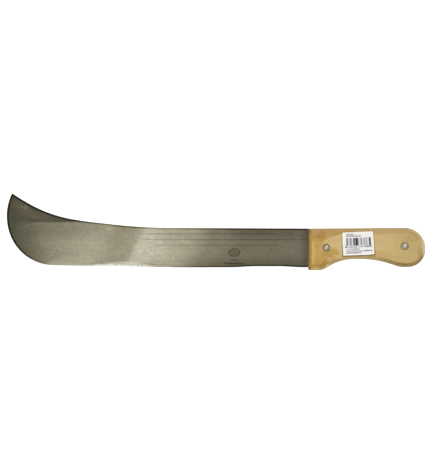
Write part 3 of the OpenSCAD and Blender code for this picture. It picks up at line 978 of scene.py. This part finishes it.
def woodMaterial():
    paint = painter(woodLook)
    material, shader, place = newMaterial("scaleWoodFinish")
    x, y, z = axesOf(place)
    fibre = noise(joined(x * 0.035, y * 1.3, z * 1.3), 1.0, 4.0, 0.6)
    fibreFine = noise(joined(x * 0.09, y * 4.5, z * 4.5), 1.0, 2.0, 0.6)
    swirl = noise(joined(x * 0.55, y, z), 0.2, 3.0, 0.55, 1.6)
    grit = noise(joined(x * 0.4, y * 1.0, z), 1.0, 3.0, 0.65)
    pores = noise(joined(x * 0.3, y * 3, z * 3), 1.0, 2.0, 0.6)
    gap, around = mark(place, "edgeGap"), mark(place, "rivetGap")
    plain, heart, wide = plainWood(paint, place, x, y, z, swirl)
    wall = soft(gap, 0.5, 0.15) * between(z, 5.4, 16.6, 0.5)
    tone = mixed(wall * 0.85, roundedBorderShading(plain, paint, place, x, y, gap), plain)
    tone = frontEndShading(tone, paint, x, y, swirl, wide, 1 - wall * 0.75)
    # Worn butt, grime round the rivets with painted shadow at their recess lips, and painted shadow round the
    # label
    tone = coated(
        tone, paint,
        (softX(x, 413, 420) * soft(gap, 6.0, 2.0) * soft(pores, 0.58, 0.7) * 0.6, (120, 98, 60)),
        # grime round the rivets, and a painted shadow at the lips of their recesses
        (soft(around, 6.2, 4.3) * 0.3 + soft(around, 4.8, 4.4) * 0.35, (146, 122, 78)),
        (labelShadow(x, y) * soft(z, 11, 13), (112, 91, 54)),
    )
    grain = 1 + (fibre - 0.5) * 0.24 + (fibreFine - 0.5) * 0.38 + (grit - 0.5) * (0.28 + heart * 0.5)
    setShader(
        shader, place, Base_Color=scaled(tone, grain), Roughness=0.48 + (fibre - 0.5) * 0.12,
        Coat_Weight=0.08, Coat_Roughness=0.3, Normal=bumped(fibre * 0.6 + fibreFine * 0.4, 0.22, 0.00025),
    )
    return material


wood = woodMaterial()
for level in ("upper", "lower"):
    node = "grip_scale_" + level
    finished(makeScale(level + "ScaleWood", node, level == "upper"), wood, "grip_wood", node)


# Rivets and washers: a turned profile swept round by geometry nodes

turnedSizes = {
    "segments": 72, "sharpTurn": 35,
    "headRadius": 3.4, "headHeight": 1.0, "headSteps": 9, "shankRadius": 2.5,
    "washerRadius": 4.3, "washerHole": 2.6, "washerBreak": 0.15,
    "headDents": 0.07, "washerDents": 0.02, "dentScale": 750.0,
}


def turnedTree():
    # The object's own mesh is the profile: points with the radius in X and the height in Z
    tree = bpy.data.node_groups.new("turnedPart", "GeometryNodeTree")
    slots = {}
    for name, kind in (
        ("Profile", "Geometry"), ("Segments", "Int"), ("Rings", "Int"), ("Place", "Vector"),
        ("Dent depth", "Float"), ("Dent seed", "Float"), ("Material", "Material"),
    ):
        slot = tree.interface.new_socket(name=name, in_out="INPUT", socket_type="NodeSocket" + kind)
        slots[name] = slot.identifier
    tree.interface.new_socket(name="Part", in_out="OUTPUT", socket_type="NodeSocketGeometry")
    given = tree.nodes.new("NodeGroupInput").outputs
    wires = [Wire(tree, given[name]) for name in slots]
    profile, segments, rings, place, dentDepth, dentSeed, material = wires
    node = profile.node
    # A grid whose columns are the profile, turned on from one to the next
    grid = node("GeometryNodeMeshGrid", {}, {"Vertices X": segments + 1, "Vertices Y": rings})
    index = node("GeometryNodeInputIndex", {}, {})
    column = index.maths("FLOOR", (index + 0.5) / rings)
    position = node("GeometryNodeInputPosition", {}, {})
    sampled = {"Geometry": profile, "Value": position, "Index": index - column * rings}
    point = node("GeometryNodeSampleIndex", {"data_type": "FLOAT_VECTOR", "domain": "POINT"}, sampled)
    angle = column * (2 * math.pi) / segments
    turned = node("ShaderNodeVectorRotate", {"rotation_type": "Z_AXIS"}, {"Vector": point, "Angle": angle})
    placed = node("GeometryNodeSetPosition", {}, {"Geometry": grid, "Position": turned})
    radius = node("ShaderNodeSeparateXYZ", {}, {0: point})
    stored = {"Geometry": placed, "Name": "turnRadius", "Value": radius / mm}
    marked = node("GeometryNodeStoreNamedAttribute", {"data_type": "FLOAT", "domain": "POINT"}, stored)
    merged = node("GeometryNodeMergeByDistance", {}, {"Geometry": marked, "Distance": 0.004 * mm})
    # Dents, then the place on the part
    uneven = {"Vector": position, "W": dentSeed, "Scale": turnedSizes["dentScale"], "Detail": 2.0}
    bumpy = node("ShaderNodeTexNoise", {"noise_dimensions": "4D"}, uneven)
    pushed = scaled(node("GeometryNodeInputNormal", {}, {}), (bumpy - 0.9) * dentDepth)
    dented = node("GeometryNodeSetPosition", {}, {"Geometry": merged, "Offset": pushed})
    moved = node("GeometryNodeTransform", {}, {"Geometry": dented, "Translation": place})
    real = node("GeometryNodeRealizeInstances", {}, {"Geometry": moved})
    painted = node("GeometryNodeSetMaterial", {}, {"Geometry": real, "Material": material})
    tree.links.new(painted.socket, tree.nodes.new("NodeGroupOutput").inputs[0])
    return tree, slots


def turnedPiece(name, node, profileFrom, dents, seed, material):
    # Turned to the height and middle of the CAD node that it replaces
    low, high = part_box(node)
    middle = (low + high) / 2 / mm
    profile = profileFrom(low.z / mm, high.z / mm)
    mesh = bpy.data.meshes.new(name)
    mesh.from_pydata([(r * mm, 0, h * mm) for r, h in profile], [], [])
    holder = newObject(name + "Profile", mesh)
    modifier = holder.modifiers.new("turned", "NODES")
    modifier.node_group, slots = turned
    values = {
        "Segments": turnedSizes["segments"], "Rings": len(profile),
        "Place": [middle.x * mm, middle.y * mm, 0],
        "Dent depth": dents * mm, "Dent seed": float(seed), "Material": material,
    }
    for key, value in values.items():
        modifier[slots[key]] = value
    evaluated = holder.evaluated_get(bpy.context.evaluated_depsgraph_get())
    result = bpy.data.meshes.new_from_object(evaluated)
    result.name = name
    bpy.data.objects.remove(holder)
    loose = bmesh.new()
    loose.from_mesh(result)
    bmesh.ops.recalc_face_normals(loose, faces=loose.faces)
    loose.to_mesh(result)
    loose.free()
    return smoothPiece(name, result, turnedSizes["sharpTurn"])


def headProfile(seat, away):  # from the seat at the shank out, round the dome to the axis
    size = turnedSizes
    radius, height, steps = size["headRadius"], size["headHeight"], size["headSteps"]
    crown = (radius**2 + height**2) / (2 * height)
    widest = math.asin(radius / crown)
    points = [(size["shankRadius"], seat), (radius - 0.1, seat), (radius, seat + away * 0.1)]
    for k in range(1, steps + 1):
        angle = widest * (1 - k / steps)
        points.append((crown * math.sin(angle), seat + away * (height - crown * (1 - math.cos(angle)))))
    return points


def rivetProfile(low, high):
    height = turnedSizes["headHeight"]
    return headProfile(low + height, -1)[::-1] + headProfile(high - height, 1)


def washerProfile(low, high):
    size = turnedSizes
    outer, hole, edge = size["washerRadius"], size["washerHole"], size["washerBreak"]
    return [
        (hole, low), (outer - edge, low), (outer, low + edge), (outer, high - edge),
        (outer - edge, high), ((outer + hole) / 2, high), (hole, high), (hole, low),
    ]


rivetLook = {
    "light": 1.45, "gloss": 0.0, "roughness": 0.4, "metallic": 0.8, "patchiness": 0.12,
    "bright": (222, 219, 204), "dull": (184, 178, 156), "wearAndShade": (164, 152, 120),
    "ring": (2.5, 3.1),  # the radii where the darker border of each head starts and is full
}
washerLook = {
    "light": 1.3, "gloss": 0.0, "roughness": 0.5, "metallic": 0.6, "patchiness": 0.15,
    "bright": (176, 161, 122), "dull": (150, 132, 92), "wearAndShade": (158, 140, 98),
    "ring": (2.5, 3.1),
}


def metalMaterial(name, look):
    bright, dull, wearAndShade = (painter(look)(*look[part]) for part in ("bright", "dull", "wearAndShade"))
    material, shader, place = newMaterial(name)
    broad = noise(place, 0.55)
    fine = noise(place, 2.4)
    tone = mixed(soft(broad, 0.5 - look["patchiness"], 0.5 + look["patchiness"]), dull, bright)
    rim = soft(mark(place, "turnRadius") + (fine - 0.5) * 0.5, *look["ring"])
    tone = mixed(rim * 0.8, tone, wearAndShade)
    tone = tinted(tone, soft(axesOf(place)[0], 20, -20), (0.9, 0.85, 0.77))  # the front ones are duller
    setShader(
        shader, place, Base_Color=scaled(tone, 1 + (fine - 0.5) * 0.3), Metallic=look["metallic"],
        Roughness=look["roughness"] + (fine - 0.5) * 0.2, Normal=bumped(fine, 0.25, 0.0003),
    )
    return material


turned = turnedTree()
rivetMetal = metalMaterial("rivetMetalFinish", rivetLook)
washerSteel = metalMaterial("washerSteelFinish", washerLook)
for seed, end in enumerate(("front", "rear")):
    node = "rivet_" + end
    rivet = turnedPiece(end + "Rivet", node, rivetProfile, turnedSizes["headDents"], seed * 3 + 1, rivetMetal)
    finished(rivet, rivetMetal, "rivet_metal", node)
    for level in ("upper", "lower"):
        node = f"washer_{end}_{level}"
        washer = turnedPiece(
            f"{end}Washer{level.capitalize()}", node, washerProfile, turnedSizes["washerDents"],
            seed * 5 + len(level), washerSteel,
        )
        finished(washer, washerSteel, "washer_steel", node)


# Floor, lights and camera

stageSizes = {
    "floor": 5.0, "below": -0.0006,
    "lens": 900.0, "sensor": 36.0, "level": 0.008,  # the photograph's scale holds at this height
    "world": 0.8, "soft": 14.0, "key": 14.0,
    "pale": (0.93, 0.95), "glow": 0.6,  # the floor's greys, and how much it shines by itself
}


def makeFloor():  # it shows only from above
    half = stageSizes["floor"] / 2
    low = stageSizes["below"]
    mesh = bpy.data.meshes.new("floor")
    corners = [(x, y, low) for x, y in ((-half, -half), (half, -half), (half, half), (-half, half))]
    mesh.from_pydata(corners, [], [(0, 1, 2, 3)])
    floor = newObject("floor", mesh)
    material, shader, place = newMaterial("floorPaper")
    darker, lighter = ((grey, grey, grey, 1) for grey in stageSizes["pale"])
    speck = noise(place, 0.02, 2.0, 0.5)
    setShader(
        shader, place, Base_Color=mixed(speck, darker, lighter), Roughness=0.9,
        Emission_Color=(1, 1, 1, 1), Emission_Strength=stageSizes["glow"],
    )
    tree = material.node_tree
    back = place.node("ShaderNodeNewGeometry", {}, {}, 6)
    clear = place.node("ShaderNodeBsdfTransparent", {}, {})
    either = place.node("ShaderNodeMixShader", {}, {0: back, 1: Wire(tree, shader.outputs[0]), 2: clear})
    tree.links.new(either.socket, tree.nodes["Material Output"].inputs["Surface"])
    mesh.materials.append(material)


def areaLight(name, place, target, size, power):
    data = bpy.data.lights.new(name, "AREA")
    data.shape = "SQUARE"
    data.size = size
    data.energy = power
    lamp = newObject(name, data)
    lamp.location = place
    lamp.rotation_euler = (Vector(target) - Vector(place)).to_track_quat("-Z", "Y").to_euler()
    lamp.visible_camera = False


def makeCamera():
    data = bpy.data.cameras.new("photoCamera")
    data.lens = stageSizes["lens"]
    data.sensor_width = stageSizes["sensor"]
    camera = newObject("photoCamera", data)
    tall = photo["height"] * photo["mmPerPixel"] * mm
    distance = tall * stageSizes["lens"] / stageSizes["sensor"]
    x, y = atPixel((photo["width"] - 1) / 2, (photo["height"] - 1) / 2)
    camera.location = (x * mm, y * mm, stageSizes["level"] + distance)
    bpy.context.scene.camera = camera


world = bpy.data.worlds.new("paleStudio")
world.use_nodes = True
background = world.node_tree.nodes["Background"]
background.inputs["Color"].default_value = (1, 1, 1, 1)
background.inputs["Strength"].default_value = stageSizes["world"]
bpy.context.scene.world = world
bpy.context.scene.view_settings.view_transform = "Standard"
makeFloor()
areaLight("softAbove", (-0.2, 0.1, 2.9), (-0.2, 0.0, 0), 1.8, stageSizes["soft"])
areaLight("keySide", (0.9, 1.5, 1.7), (-0.1, 0, 0), 1.0, stageSizes["key"])
makeCamera()
print("stage, lights and camera are in place")
